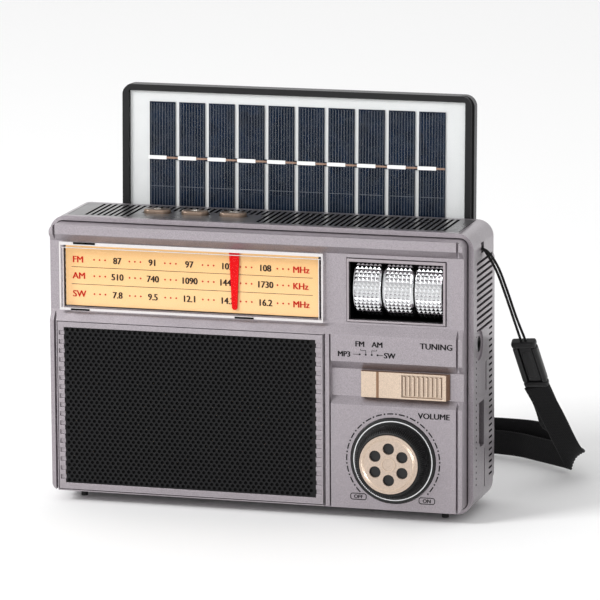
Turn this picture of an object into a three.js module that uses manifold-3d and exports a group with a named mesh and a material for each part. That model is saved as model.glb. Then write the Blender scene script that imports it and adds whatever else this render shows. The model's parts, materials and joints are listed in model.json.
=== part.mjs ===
// Shortwave receiver: a table radio with a folding solar panel, built from separate pieces.
// Millimetres, +Z up, +X to the right seen from the front, the front face looks towards -Y.
// The pieces are laid out with y = 0 on the front face; the last group centres the depth.
import * as THREE from 'three';
import { mergeVertices } from 'three/addons/utils/BufferGeometryUtils.js';
import Module from 'manifold-3d';

const wasm = await Module();
wasm.setup();

// ---------- driving dimensions ----------
const DEPTH_MIDDLE = 27.8; // half way between the volume knob and the back of the panel
const CASE_X = 100.5; // half width of the case shell
const CASE_LOW = 2.5;
const CASE_TOP = 132.4;
const CASE_FRONT = 10;
const CASE_REAR = 47.4;
const CASE_ROUND = 8;
const WALL = 2.4;
const FACE_X = 97.7; // half width of the raised front panel
const FACE_LOW = 5;
const FACE_TOP = 129.8;
const FACE_WALL = 5.2;
const RECESS = 3; // depth of the dial band and of the switch recess
const GROOVE_X = 95.3;
const SPEAKER = { x0: -94.1, x1: 32.6, z0: 5.8, z1: 84.6, cx: -31, cz: 45.5 };
const DRUM = { x0: 45.9, x1: 87.6, r: 14.35, y: 16.5, z: 105.9 };
const KNOB = { x: 65.5, z: 28.1, r: 17 };
const BUTTON_X = [-54.1, -35.9, -17.6];
const BUTTON_Y = 28;
const LOUVRE_PITCH = 2.83;
const FOOT_X = 86.5;
const FOOT_Y = [13.5, 44.5];
const HINGE = { y: 60, z: 121.5, x: 60 };
const LEAN = THREE.MathUtils.degToRad(-1.75);
const PANEL = { x0: -79.5, x1: 88, z0: -2, z1: 65.8, y0: -6, y1: 2 }; // about the hinge axis
const CELL = { x0: -66.5, pitch: 14.4, wide: 12.5, z0: 5.9, z1: 57.9, count: 10 };
const AERIAL = { x: -90, y: 59.5, z: 112 };
const POINTER_X = -9.8;

// Looks of the separate materials.
const LILAC = { color: 0xb9b2ba, roughness: 0.42, metalness: 0.35 };
const CHAMPAGNE = { color: 0xe8d6c4, roughness: 0.35, metalness: 0.5 };
const COPPER = { color: 0xc8a082, roughness: 0.32, metalness: 0.6 };
const CHROME = { color: 0xdfe1e4, roughness: 0.12, metalness: 1 };
const STEEL = { color: 0xa9abae, roughness: 0.35, metalness: 0.9 };
const BLACK = { color: 0x1b1b1c, roughness: 0.5, metalness: 0 };
const CHARCOAL = { color: 0x2f2f31, roughness: 0.6, metalness: 0 };
const AMBER = { color: 0xf5cd96, roughness: 0.5, metalness: 0 };
const RED = { color: 0xd70a14, roughness: 0.4, metalness: 0 };
const CLEAR = { color: 0xf6f8fa, roughness: 0.05, metalness: 0 };
const GREEN = { color: 0x2f6b45, roughness: 0.55, metalness: 0 };
const SILICON = { color: 0x141e32, roughness: 0.25, metalness: 0.2 };
const WHITE = { color: 0xe6e8e8, roughness: 0.5, metalness: 0 };
const FERRITE = { color: 0x3a3634, roughness: 0.7, metalness: 0 };
const WINDING = { color: 0xb06a34, roughness: 0.4, metalness: 0.6 };
const PAPER = { color: 0x26252a, roughness: 0.9, metalness: 0 };
const WRAP = { color: 0x3c6aa8, roughness: 0.4, metalness: 0 };

// ---------- small tools ----------
function solid(geometry) {
  geometry.deleteAttribute('normal');
  geometry.deleteAttribute('uv');
  const merged = mergeVertices(geometry, 1e-4);
  const points = merged.attributes.position.array;
  const index = merged.index.array;
  const faces = [];
  let volume = 0;
  const a = new THREE.Vector3();
  const b = new THREE.Vector3();
  const c = new THREE.Vector3();
  for (let i = 0; i < index.length; i += 3) {
    const [p, q, r] = [index[i], index[i + 1], index[i + 2]];
    if (p === q || q === r || r === p) continue;
    faces.push(p, q, r);
    volume += a.fromArray(points, 3 * p).dot(b.fromArray(points, 3 * q).cross(c.fromArray(points, 3 * r)));
  }
  if (volume < 0) faces.reverse();
  const mesh = new wasm.Mesh({
    numProp: 3,
    vertProperties: new Float32Array(points),
    triVerts: new Uint32Array(faces),
  });
  return new wasm.Manifold(mesh);
}

function outline(points) {
  return new THREE.Shape(points.map(([u, v]) => new THREE.Vector2(u, v)));
}

function roundedOutline(u0, u1, v0, v1, r) {
  const shape = new THREE.Shape();
  shape.moveTo(u0 + r, v0);
  shape.lineTo(u1 - r, v0);
  shape.absarc(u1 - r, v0 + r, r, -Math.PI / 2, 0);
  shape.lineTo(u1, v1 - r);
  shape.absarc(u1 - r, v1 - r, r, 0, Math.PI / 2);
  shape.lineTo(u0 + r, v1);
  shape.absarc(u0 + r, v1 - r, r, Math.PI / 2, Math.PI);
  shape.lineTo(u0, v0 + r);
  shape.absarc(u0 + r, v0 + r, r, Math.PI, 1.5 * Math.PI);
  return shape;
}

function extrude(shape, depth, curveSegments = 8) {
  return new THREE.ExtrudeGeometry(shape, { depth, curveSegments, bevelEnabled: false });
}

// A box between two corners.
function block(x0, x1, y0, y1, z0, z1) {
  const geometry = new THREE.BoxGeometry(x1 - x0, y1 - y0, z1 - z0);
  return solid(geometry.translate((x0 + x1) / 2, (y0 + y1) / 2, (z0 + z1) / 2));
}

// An outline in x and z, drawn out along y.
function slabY(shape, y0, y1, curveSegments) {
  const geometry = extrude(shape, y1 - y0, curveSegments);
  return solid(geometry.rotateX(Math.PI / 2).translate(0, y1, 0));
}

// An outline in y and z, drawn out along x.
function slabX(shape, x0, x1, curveSegments) {
  const turn = new THREE.Matrix4().set(0, 0, 1, x0, 1, 0, 0, 0, 0, 1, 0, 0, 0, 0, 0, 1);
  return solid(extrude(shape, x1 - x0, curveSegments).applyMatrix4(turn));
}

// An outline in x and y, drawn out along z.
function slabZ(shape, z0, z1, curveSegments) {
  return solid(extrude(shape, z1 - z0, curveSegments).translate(0, 0, z0));
}

// A round bar along 'x', 'y' or 'z' from a0 to a1, its axis through [x, y, z].
function rod(axis, r, a0, a1, centre = [0, 0, 0], sides = 24) {
  const geometry = new THREE.CylinderGeometry(r, r, a1 - a0, sides).translate(0, (a0 + a1) / 2, 0);
  if (axis === 'x') geometry.rotateZ(-Math.PI / 2);
  if (axis === 'z') geometry.rotateX(Math.PI / 2);
  return solid(geometry.translate(...centre));
}

// A profile of [radius, y] points turned about the y axis through [x, 0, z].
function turned(profile, x, z, sides = 32) {
  const points = profile.map(([r, y]) => new THREE.Vector2(r, y));
  return solid(new THREE.LatheGeometry(points, sides).translate(x, 0, z));
}

function cut(body, ...tools) {
  return tools.reduce((left, tool) => left.subtract(tool), body);
}

function join(body, ...others) {
  return others.reduce((whole, other) => whole.add(other), body);
}

function piece(name, body, look, at = [0, 0, 0]) {
  const made = body.getMesh();
  const geometry = new THREE.BufferGeometry();
  geometry.setAttribute('position', new THREE.BufferAttribute(made.vertProperties, 3));
  geometry.setIndex(new THREE.BufferAttribute(made.triVerts, 1));
  const mesh = new THREE.Mesh(geometry, new THREE.MeshStandardMaterial(look));
  mesh.name = name;
  mesh.position.set(...at);
  return mesh;
}

// ---------- case ----------
function frontPanel() {
  const face = roundedOutline(-FACE_X, FACE_X, FACE_LOW, FACE_TOP, 3.5);
  let body = slabY(face, 0, 12);
  const band = outline([[-1, 126.67], [RECESS, 122], [RECESS, 89.8], [-1, 83.8]]);
  const well = outline([[-1, 74.27], [RECESS, 69.2], [RECESS, 56.6], [-1, 51.93]]);
  body = cut(body, slabX(band, -99, 99), slabX(well, 36.1, 99));
  for (const side of [-1, 1]) {
    const x = side * GROOVE_X;
    body = cut(body, block(x - 0.5, x + 0.5, -1, 2.6, 0, 135));
  }
  body = cut(body, block(33, 33.7, -1, 2.6, 0, 85.3), block(35.6, 36.3, -1, 2.6, 0, 85.3));
  body = cut(body, block(-95.5, 95.5, FACE_WALL, 13, 7.2, 127.6));
  body = cut(body, block(SPEAKER.x0 - 0.3, SPEAKER.x1 + 0.3, -1, 1.8, SPEAKER.z0 - 0.3, SPEAKER.z1 + 0.3));
  body = cut(body, rod('y', 28.6, 1, 6, [SPEAKER.cx, 0, SPEAKER.cz], 40));
  body = cut(body, block(-91.5, 31, 2, 6, 91.5, 121.6));
  body = cut(body, block(43, 89.7, 2, 6, 90.7, 120.4));
  body = cut(body, block(57.4, 74.3, 2, 6, 60.5, 65.5));
  const knobSeat = rod('y', 20.1, -1, 1.8, [KNOB.x, 0, KNOB.z], 40);
  return cut(body, knobSeat, rod('y', 4, 1, 6, [KNOB.x, 0, KNOB.z]));
}

function caseShell() {
  const inner = CASE_X - WALL;
  const outside = roundedOutline(-CASE_X, CASE_X, CASE_LOW, CASE_TOP, CASE_ROUND);
  const inside = roundedOutline(-inner, inner, FACE_LOW - 0.4, FACE_TOP + 0.4, 4);
  let body = cut(slabY(outside, CASE_FRONT, CASE_REAR), slabY(inside, 0, 60));
  body = cut(body, block(-93, 93, 13.5, 45, 129, 134));
  for (let i = 0; i < 12; i++) {
    const z = 86.2 + i * LOUVRE_PITCH;
    body = cut(body, block(97, 102, 16.3, 45.8, z - 0.65, z + 0.65));
    body = cut(body, block(-102, -97, 16.3, 45.8, z - 0.65, z + 0.65));
  }
  const pocket = outline([[20.6, 34.2], [23.4, 31.4], [30.2, 31.4], [30.2, 52.4], [20.6, 52.4]]);
  body = cut(body, slabX(pocket, 97, 102));
  body = cut(body, rod('x', 7, 99.7, 102, [0, 21.2, 79.2]), rod('x', 3.7, 97, 102, [0, 23.2, 79.3]));
  body = cut(body, block(97, 102, 33.1, 34.7, 55.7, 69.3));
  body = cut(body, block(97, 102, 30.7, 31.9, 11.3, 29.2));
  return cut(body, block(97, 102, 24.2, 29.2, 121, 125.8));
}

function rearCover() {
  const back = CASE_REAR + 0.3;
  let body = slabY(roundedOutline(-100, 100, 3, 131.9, 7.5), back, 49.9);
  body = join(body, slabY(roundedOutline(-99.3, 99.3, 8.5, 117.5, 4), 49, 55));
  body = cut(body, block(-96, 96, 40, 52.8, 11.5, 115));
  body = cut(body, block(-60, 60, 50, 56, 14, 50));
  for (const side of [-1, 1]) {
    const x = side * HINGE.x;
    const arm = block(x - 4, x + 4, 49, HINGE.y, HINGE.z - 2.5, HINGE.z + 0.9);
    const knuckle = rod('x', 2.6, x - 4, x + 4, [0, HINGE.y, HINGE.z]);
    body = join(body, arm, knuckle);
  }
  return cut(body, rod('x', 1.5, -70, 70, [0, HINGE.y, HINGE.z]));
}

function topPlate() {
  let body = block(-92.7, 92.7, 13.8, 44.7, 130.4, CASE_TOP);
  for (let i = 0; i < 61; i++) {
    const x = -84.5 + i * LOUVRE_PITCH;
    const start = x > -63 && x < -3 ? 33 : 14.8;
    body = cut(body, block(x - 0.7, x + 0.7, start, 43.8, 130, 133));
  }
  for (const x of BUTTON_X) {
    const hole = roundedOutline(x - 6.85, x + 6.85, BUTTON_Y - 3.6, BUTTON_Y + 3.6, 3.6);
    body = cut(body, slabZ(hole, 130, 133));
  }
  return body;
}

function buttonBoard() {
  let body = block(-66, -6, 21, 35, 121.4, 123);
  for (const x of BUTTON_X) body = join(body, rod('z', 2.5, 122, 124.2, [x, BUTTON_Y, 0], 12));
  return body;
}

function batteryDoor() {
  const body = block(-59.7, 59.7, 53, 55, 14.3, 49.7);
  return cut(body, block(-8, 8, 54.4, 56, 43, 45));
}

// ---------- speaker ----------
function speakerFrame() {
  const { x0, x1, z0, z1 } = SPEAKER;
  let body = cut(block(x0, x1, -0.1, 1.5, z0, z1), block(-91, 29.1, -1, 2, 8.8, 82.1));
  for (let i = 0; i < 17; i++) {
    const z = 11.5 + i * 4.25;
    body = cut(body, block(-93.4, -90, -1, 0.8, z - 1, z + 1), block(28, 31.9, -1, 0.8, z - 1, z + 1));
  }
  return body;
}

function speakerGrille() {
  let body = block(-90.7, 28.8, 0.5, 1.3, 9.1, 81.8);
  for (let row = 0; row < 5; row++) {
    for (let column = 0; column < 8; column++) {
      const at = [-81 + column * 14.3, 0, 17.5 + row * 14];
      body = cut(body, rod('y', 2.6, 0, 2, at, 4));
    }
  }
  return body;
}

function speakerBasket() {
  const profile = [[29, 5.6], [33, 5.6], [33, 7.6], [30.5, 7.6], [17, 20], [9, 20], [9, 18.6], [16, 18.6],
    [29, 7.4], [29, 5.6]];
  return turned(profile, SPEAKER.cx, SPEAKER.cz, 36);
}

function speakerCone() {
  const profile = [[0, 11.5], [5, 12.1], [8, 13.8], [25.6, 6.9], [27.2, 6.6], [27.2, 7.2], [26, 7.6],
    [8.4, 14.8], [0, 14.8]];
  return turned(profile, SPEAKER.cx, SPEAKER.cz, 36);
}

// ---------- dial ----------
function dialCover() {
  let body = block(-92.9, 32.7, 0.8, 2.4, 90.2, 122);
  for (const [x0, x1] of [[-88, -77], [-15, -4]]) {
    body = cut(body, block(x0, x1, 0, 3, 89, 90.9), block(x0 + 2, x1 + 1, 0, 3, 121.3, 123));
  }
  return body;
}

function pointer() {
  const blade = outline([[-2.5, 121.3], [-1.3, 94.4], [-0.6, 93.6], [0.6, 93.6], [1.3, 94.4], [2.5, 121.3]]);
  return join(slabY(blade, 2.8, 3.4), block(-1.5, 1.5, 3, 6.2, 120.6, 121.3));
}

function pointerCarriage() {
  return cut(block(-4, 4, 6.5, 10.5, 117.6, 121.6), rod('x', 1.35, -5, 5, [0, 8.5, 119.4], 16));
}

function dialString() {
  const band = (r) => roundedOutline(-90 - r, 36 + r, 124.6 - r, 124.6 + r, r);
  return cut(slabY(band(2.6), 8.2, 8.8), slabY(band(2), 7, 10));
}

// ---------- tuning ----------
function tuningBezel() {
  return cut(block(43.3, 89.4, 2.2, 5, 91, 120.1), block(44.4, 88.2, 1, 6, 92, 118.6));
}

function drumHousing() {
  let body = cut(block(42, 90.6, 5.6, 33, 89, 122.8), block(43.8, 88.8, 5, 31.2, 91, 120.8));
  return cut(body, rod('x', 2.4, 40, 92, [0, DRUM.y, DRUM.z]));
}

function tuningDrum() {
  const { x0, x1, r, y, z } = DRUM;
  const at = [0, y, z];
  let body = rod('x', r, x0, x1, at, 48);
  for (const x of [59.4, 74.35]) {
    body = cut(body, cut(rod('x', r + 1, x - 0.35, x + 0.35, at, 48), rod('x', r - 1, x - 1, x + 1, at, 48)));
  }
  return cut(body, rod('x', 2.3, x0 - 1, x1 + 1, at));
}

// ---------- volume ----------
function volumeKnob() {
  const profile = [[3.3, -0.8], [17, -0.8], [16.2, -7.2], [14.2, -8], [13.95, -8], [13.95, -7],
    [3.3, -7], [3.3, -0.8]];
  return turned(profile, 0, 0, 48);
}

function knobDisc() {
  let body = rod('y', 13.65, -8.4, -7.3, [0, 0, 0], 40);
  for (let i = 0; i < 6; i++) {
    const angle = i * Math.PI / 3;
    const at = [7.29 * Math.sin(angle), 0, 7.29 * Math.cos(angle)];
    body = cut(body, rod('y', 2.7, -9, -7, at, 16));
  }
  return body;
}

// ---------- band switch ----------
function bandSlider() {
  const side = outline([[49.9, 2.7], [50.6, -0.1], [57.6, -0.1], [58.25, -0.5], [58.9, -0.1], [68.4, -0.1],
    [69.4, -0.5], [90.3, -0.5], [91.5, 2.7]]);
  let body = cut(slabZ(side, 57, 69), block(69.6, 88.6, -1, 0.6, 57.9, 68.1));
  for (let i = 0; i < 9; i++) {
    const x = 70.3 + i * 2.1;
    body = join(body, block(x, x + 0.9, -0.4, 1, 58.5, 67.5));
  }
  return join(body, block(66, 74, 2, 8, 61, 65));
}

// ---------- solar panel, drawn about the hinge axis ----------
function solarFrame() {
  const { x0, x1, z0, z1, y0, y1 } = PANEL;
  let body = slabY(roundedOutline(x0, x1, z0, z1, 5), y0, -2.6);
  body = join(body, slabY(roundedOutline(x0 - 0.8, x1 + 0.8, z0, z1, 5.4), -3, y1));
  body = cut(body, slabY(roundedOutline(x0 + 3.1, x1 - 2.9, 1.8, 63, 0.6), y0 - 1, -3.1));
  for (const side of [-1, 1]) {
    const x = side * HINGE.x;
    body = cut(body, block(x - 4.5, x + 4.5, y0 - 1, y1 + 1, z0 - 1, 1.4));
    body = cut(body, block(x - 4.5, x + 4.5, -3, y1 + 1, 0, 3.2));
  }
  return cut(body, rod('x', 1.5, -66, 66, [0, 0, 0], 16));
}

function solarCells() {
  const { x0, pitch, wide, z0, z1, count } = CELL;
  let body = block(x0, x0 + (count - 1) * pitch + wide, -4.9, -4.6, 30.7, 32.7);
  for (let i = 0; i < count; i++) {
    body = join(body, block(x0 + i * pitch, x0 + i * pitch + wide, -4.9, -4.6, z0, z1));
  }
  return body;
}

// ---------- ports ----------
function headphoneJack() {
  const at = [0, 23.2, 79.3];
  const body = join(block(84, 97.4, 18, 28.4, 74, 84.6), rod('x', 3.4, 90, 99.8, at));
  return cut(body, rod('x', 1.8, 87, 101, at, 16));
}

function usbSocket() {
  const shellBox = block(84, 97.6, 22.3, 28.5, 35, 49);
  const flange = block(96.2, 97.7, 19.6, 31.2, 30.6, 53.2);
  const mouth = block(86, 98, 22.8, 28, 35.5, 48.5);
  return join(cut(join(shellBox, flange), mouth), block(85, 96.5, 25.9, 27.7, 36.5, 47.5));
}

function cardSocket() {
  return cut(block(80, 97.7, 32.4, 36.5, 54, 71), block(82, 98, 33.3, 34.5, 56.3, 68.7));
}

// ---------- aerial, drawn from its pivot, hanging down ----------
function aerialKnuckle() {
  return join(rod('y', 5, -4.2, 3.4, [0, 0, 0]), rod('z', 3.4, -12, 0, [0, 0, 0]));
}

function aerialTube(r, bore, top, low) {
  const tube = rod('z', r, low, top, [0, 0, 0], 16);
  return bore ? cut(tube, rod('z', bore, low - 1, top - 4, [0, 0, 0], 16)) : tube;
}

// ---------- wrist strap ----------
// One length of thin cord from the clip up, round the post and down to the clip again.
const CORD_ROUTE = [
  [110.5, 60, 74.5], [109, 53, 85], [107, 43, 99.5], [105, 34.5, 111.5], [102, 29.8, 119.5],
  [100.3, 28.2, 122.5], [98.5, 28, 123.4], [97.95, 26.7, 123.4], [98.5, 25.4, 123.4], [100.3, 25.2, 123.2],
  [102.8, 26.8, 121.5], [105.8, 34, 113.5], [108, 43, 101], [110, 52.5, 87], [112.5, 60, 75],
];
const CORD_R = 0.6;
// The clip runs from the cord down to the webbing.
const CLIP = { top: [111.5, 60.5, 74], low: [114.5, 77, 50], across: [12, -2, 3], wide: 11.7, thick: 4.4 };
// Webbing: centre of the strip, then the direction across its width.
const WEBBING = [
  [114.5, 76.5, 48.5, 0.95, -0.15, 0.3], [117.5, 84.5, 38.5, 0.95, -0.15, 0.3],
  [120.5, 92, 28, 0.95, -0.15, 0.3], [123, 98.5, 18, 0.9, -0.25, 0.4], [125, 104, 11, 0.9, -0.25, 0.4],
  [126, 108, 8.5, 0.8, -0.3, 0.55], [126, 112, 7.5, 0.5, 0.15, 0.85], [123.5, 116, 6.8, 0.15, -0.1, 1],
  [119.5, 119, 6.8, 0, 0, 1], [114, 122.5, 6.8, 0, 0, 1], [104, 129.5, 6.8, 0, 0, 1],
  [92, 137, 6.8, 0, 0, 1], [79, 139.5, 7, 0, 0, 1], [60, 139.5, 7, 0, 0, 1], [50, 140.5, 8, 0, 0, 1],
  [46, 144, 9, 0, 0, 1], [50, 147.5, 10, 0, 0, 1], [60, 146.5, 11, 0, 0, 1], [79, 144.5, 12, 0, 0, 1],
  [96, 141, 12.5, 0, 0, 1], [106, 136, 13, 0, 0, 1], [111.5, 131.5, 16, 0, 0, 1],
  [113, 124, 22, 0.15, -0.1, 1], [113.5, 114, 25, 0.45, -0.2, 0.9], [115, 104, 28, 0.8, -0.3, 0.55],
  [116, 97, 31, 0.95, -0.15, 0.3], [115.5, 89, 39, 0.95, -0.15, 0.3], [114, 79, 49.5, 0.95, -0.15, 0.3],
];
const WEB_WIDE = 12;
const WEB_THICK = 1.3;

function strapPost() {
  let body = block(94.2, 97, 22, 31.4, 118, 128);
  body = join(body, block(96.5, 99.7, 26.3, 27.1, 121.4, 122), block(96.5, 99.7, 26.3, 27.1, 124.8, 125.4));
  return join(body, block(98.9, 99.7, 26.3, 27.1, 121.4, 125.4));
}

function strapCord() {
  const ring = [];
  for (let i = 0; i < 8; i++) {
    ring.push([CORD_R * Math.cos(i * Math.PI / 4), CORD_R * Math.sin(i * Math.PI / 4)]);
  }
  const path = new THREE.CatmullRomCurve3(CORD_ROUTE.map((p) => new THREE.Vector3(...p)));
  return solid(new THREE.ExtrudeGeometry(outline(ring), { steps: 78, extrudePath: path, bevelEnabled: false }));
}

function strapClip() {
  const top = new THREE.Vector3(...CLIP.top);
  const low = new THREE.Vector3(...CLIP.low);
  const along = low.clone().sub(top);
  const length = along.length();
  const down = along.normalize();
  const across = new THREE.Vector3(...CLIP.across).normalize();
  const through = new THREE.Vector3().crossVectors(down, across).normalize();
  const side = new THREE.Vector3().crossVectors(through, down).normalize();
  const w = CLIP.wide / 2;
  const shape = roundedOutline(-w, w, 0, length, 2);
  const geometry = extrude(shape, CLIP.thick, 4).translate(0, 0, -CLIP.thick / 2);
  const turn = new THREE.Matrix4().makeBasis(side, down, through.negate()).setPosition(top);
  return solid(geometry.applyMatrix4(turn));
}

function strapWebbing() {
  const centres = new THREE.CatmullRomCurve3(WEBBING.map((p) => new THREE.Vector3(p[0], p[1], p[2])));
  const widths = new THREE.CatmullRomCurve3(WEBBING.map((p) => new THREE.Vector3(p[3], p[4], p[5])));
  const steps = 78;
  const positions = [];
  const index = [];
  for (let i = 0; i <= steps; i++) {
    const centre = centres.getPoint(i / steps);
    const ahead = centres.getTangent(i / steps);
    const across = widths.getPoint(i / steps);
    across.addScaledVector(ahead, -across.dot(ahead)).normalize();
    const face = new THREE.Vector3().crossVectors(ahead, across).normalize();
    for (const [u, v] of [[-1, -1], [1, -1], [1, 1], [-1, 1]]) {
      const corner = centre.clone().addScaledVector(across, u * WEB_WIDE / 2);
      corner.addScaledVector(face, v * WEB_THICK / 2);
      positions.push(corner.x, corner.y, corner.z);
    }
  }
  for (let i = 0; i < steps; i++) {
    for (let k = 0; k < 4; k++) {
      const a = 4 * i + k;
      const b = 4 * i + (k + 1) % 4;
      index.push(a, b, b + 4, a, b + 4, a + 4);
    }
  }
  const end = 4 * steps;
  index.push(0, 2, 1, 0, 3, 2, end, end + 1, end + 2, end, end + 2, end + 3);
  const geometry = new THREE.BufferGeometry();
  geometry.setAttribute('position', new THREE.Float32BufferAttribute(positions, 3));
  geometry.setIndex(index);
  return solid(geometry);
}

// ---------- assembly ----------
const body = new THREE.Group();
body.add(
  piece('front_panel', frontPanel(), LILAC),
  piece('case_shell', caseShell(), LILAC),
  piece('rear_cover', rearCover(), LILAC),
  piece('top_plate', topPlate(), { ...STEEL, roughness: 0.4, metalness: 0.3 }),
  piece('battery_door', batteryDoor(), LILAC),
  piece('speaker_frame', speakerFrame(), CHARCOAL),
  piece('speaker_grille', speakerGrille(), CHARCOAL),
  piece('speaker_basket', speakerBasket(), STEEL),
  piece('speaker_magnet', rod('y', 16, 20.3, 30, [SPEAKER.cx, 0, SPEAKER.cz], 28), FERRITE),
  piece('speaker_cone', speakerCone(), PAPER),
  piece('dial_cover', dialCover(), CLEAR),
  piece('dial_plate', block(-90.9, 29.7, 3.8, 4.6, 91.9, 120.3), AMBER),
  piece('pointer_rail', rod('x', 1, -93, 34, [0, 8.5, 119.4], 12), STEEL),
  piece('dial_string', dialString(), BLACK),
  piece('tuning_bezel', tuningBezel(), { ...STEEL, color: 0x8d888c }),
  piece('drum_housing', drumHousing(), BLACK),
  piece('tuning_drum', tuningDrum(), CHROME),
  piece('drum_axle', rod('x', 2, 35.6, 92.2, [0, DRUM.y, DRUM.z], 16), STEEL),
  piece('band_slider', bandSlider(), CHAMPAGNE),
  piece('band_switch', block(58, 82, 8.4, 13, 58, 68), BLACK),
  piece('button_board', buttonBoard(), GREEN),
  piece('main_board', block(34, 92, 39, 40.6, 12, 84), GREEN),
  piece('battery_cell', rod('x', 9.1, -35, 30, [0, 42.5, 24], 28), WRAP),
  piece('ferrite_rod', rod('x', 4.5, -60, 20, [0, 38, 108], 16), FERRITE),
  piece('headphone_jack', headphoneJack(), CHROME),
  piece('usb_socket', usbSocket(), STEEL),
  piece('card_socket', cardSocket(), STEEL),
  piece('hinge_rod', rod('x', 1.2, -65.5, 65.5, [0, HINGE.y, HINGE.z], 16), STEEL),
  piece('strap_post', strapPost(), STEEL),
  piece('strap_cord', strapCord(), BLACK),
  piece('strap_clip', strapClip(), BLACK),
  piece('strap_webbing', strapWebbing(), BLACK),
);

const coil = cut(rod('x', 6.8, -10, 10, [0, 38, 108], 20), rod('x', 4.85, -11, 11, [0, 38, 108], 20));
body.add(piece('antenna_coil', coil, WINDING));

// Pieces that run on the dial.
body.add(
  piece('pointer', pointer(), RED, [POINTER_X, 0, 0]),
  piece('pointer_carriage', pointerCarriage(), BLACK, [POINTER_X, 0, 0]),
);
for (const [name, x] of [['idler_pulley_left', -90], ['idler_pulley_right', 36]]) {
  body.add(piece(name, rod('y', 1.7, 7.6, 9.4, [0, 0, 0], 16), WHITE, [x, 0, 124.6]));
}

// Pieces that turn with the tuning drum.
const axleAt = [0, DRUM.y, DRUM.z];
const stringPulley = cut(rod('x', 6, 37, 40.6, [0, 0, 0]), rod('x', 2.3, 36, 42, [0, 0, 0], 16));
const variable = cut(block(8, 30, -5, 13.5, -11, 9), rod('x', 3.3, 20, 31, [0, 0, 0], 16));
body.add(
  piece('string_pulley', stringPulley, WHITE, axleAt),
  piece('tuning_capacitor', variable, { ...STEEL, color: 0xcfcabb }, axleAt),
  piece('capacitor_rotor', rod('x', 3, 20.4, 35.2, [0, 0, 0], 16), STEEL, axleAt),
);

// Volume control, round its own axis.
const knobGroup = new THREE.Group();
knobGroup.position.set(KNOB.x, 0, KNOB.z);
knobGroup.add(
  piece('volume_escutcheon', cut(rod('y', 19.8, -0.3, 1.5, [0, 0, 0], 40), rod('y', 4.3, -1, 2)), BLACK),
  piece('volume_knob', volumeKnob(), CHARCOAL),
  piece('knob_disc', knobDisc(), CHAMPAGNE),
  piece('volume_pot', cut(rod('y', 8.5, 5.6, 14, [0, 0, 0]), rod('y', 3.3, 5, 12.5, [0, 0, 0], 20)), STEEL),
  piece('pot_shaft', rod('y', 3, -6.7, 12.2, [0, 0, 0], 20), STEEL),
);
body.add(knobGroup);

// Top buttons, over the dome contacts of their board.
BUTTON_X.forEach((x, i) => {
  const oval = roundedOutline(-6.5, 6.5, -3.25, 3.25, 3.25);
  const name = ['power', 'light', 'alarm'][i];
  body.add(piece(`${name}_button`, slabZ(oval, 125.4, 134.2), COPPER, [x, BUTTON_Y, 0]));
});

// Feet.
for (const [side, x] of [['left', -FOOT_X], ['right', FOOT_X]]) {
  for (const [end, y] of [['front', FOOT_Y[0]], ['rear', FOOT_Y[1]]]) {
    body.add(piece(`foot_${end}_${side}`, rod('z', 1.6, 0, 2.2, [0, 0, 0], 20), BLACK, [x, y, 0]));
  }
}

// Solar panel, leaning back a little on its hinge.
const panel = new THREE.Group();
panel.position.set(0, HINGE.y, HINGE.z);
panel.rotation.x = LEAN;
panel.add(
  piece('solar_frame', solarFrame(), CHARCOAL),
  piece('solar_backing', block(PANEL.x0 + 3.4, PANEL.x1 - 3.2, -4.3, -3.4, 2.1, 62.7), WHITE),
  piece('solar_cells', solarCells(), SILICON),
  piece('solar_glass', block(PANEL.x0 + 3.4, PANEL.x1 - 3.2, -5.9, -5.2, 2.1, 62.7), CLEAR),
);
body.add(panel);

// Telescopic aerial at the back, hanging down when stowed.
const aerial = new THREE.Group();
aerial.position.set(AERIAL.x, AERIAL.y, AERIAL.z);
aerial.add(
  piece('antenna_pivot', aerialKnuckle(), STEEL),
  piece('antenna_tube_1', aerialTube(3.2, 2.75, -12.3, -92), CHROME),
  piece('antenna_tube_2', aerialTube(2.4, 1.95, -17, -94), CHROME),
  piece('antenna_tube_3', join(aerialTube(1.6, 0, -22, -96), rod('z', 2.6, -99, -96, [0, 0, 0], 16)), CHROME),
);
body.add(aerial);

const radio = new THREE.Group();
body.position.y = -DEPTH_MIDDLE;
radio.add(body);

export default radio;
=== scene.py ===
"""Looks of the shortwave receiver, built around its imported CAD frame.

Lengths below are millimetres with y = 0 on the front face; point() turns them into the row frame.
"""

import json
from math import cos, pi, radians, sin, tan

import bmesh
import bpy
from mathutils import Matrix, Vector


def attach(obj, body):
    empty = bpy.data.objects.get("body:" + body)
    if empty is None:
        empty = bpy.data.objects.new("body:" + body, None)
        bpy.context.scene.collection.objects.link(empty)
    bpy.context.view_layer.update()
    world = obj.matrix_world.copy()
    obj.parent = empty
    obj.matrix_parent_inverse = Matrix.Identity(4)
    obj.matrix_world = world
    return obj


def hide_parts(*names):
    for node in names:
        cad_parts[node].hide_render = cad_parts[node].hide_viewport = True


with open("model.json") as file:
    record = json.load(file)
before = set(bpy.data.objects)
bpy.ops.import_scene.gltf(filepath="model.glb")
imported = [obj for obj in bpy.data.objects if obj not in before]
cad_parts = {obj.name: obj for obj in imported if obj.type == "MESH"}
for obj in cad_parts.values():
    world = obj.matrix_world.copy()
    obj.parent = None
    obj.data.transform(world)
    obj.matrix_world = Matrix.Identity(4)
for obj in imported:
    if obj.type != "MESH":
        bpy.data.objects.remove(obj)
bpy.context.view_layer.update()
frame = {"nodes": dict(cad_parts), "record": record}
NODE_BODY = {
    node: body
    for body, nodes in frame["record"]["behaviour"]["bodies"].items()
    for node in nodes
}

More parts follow.
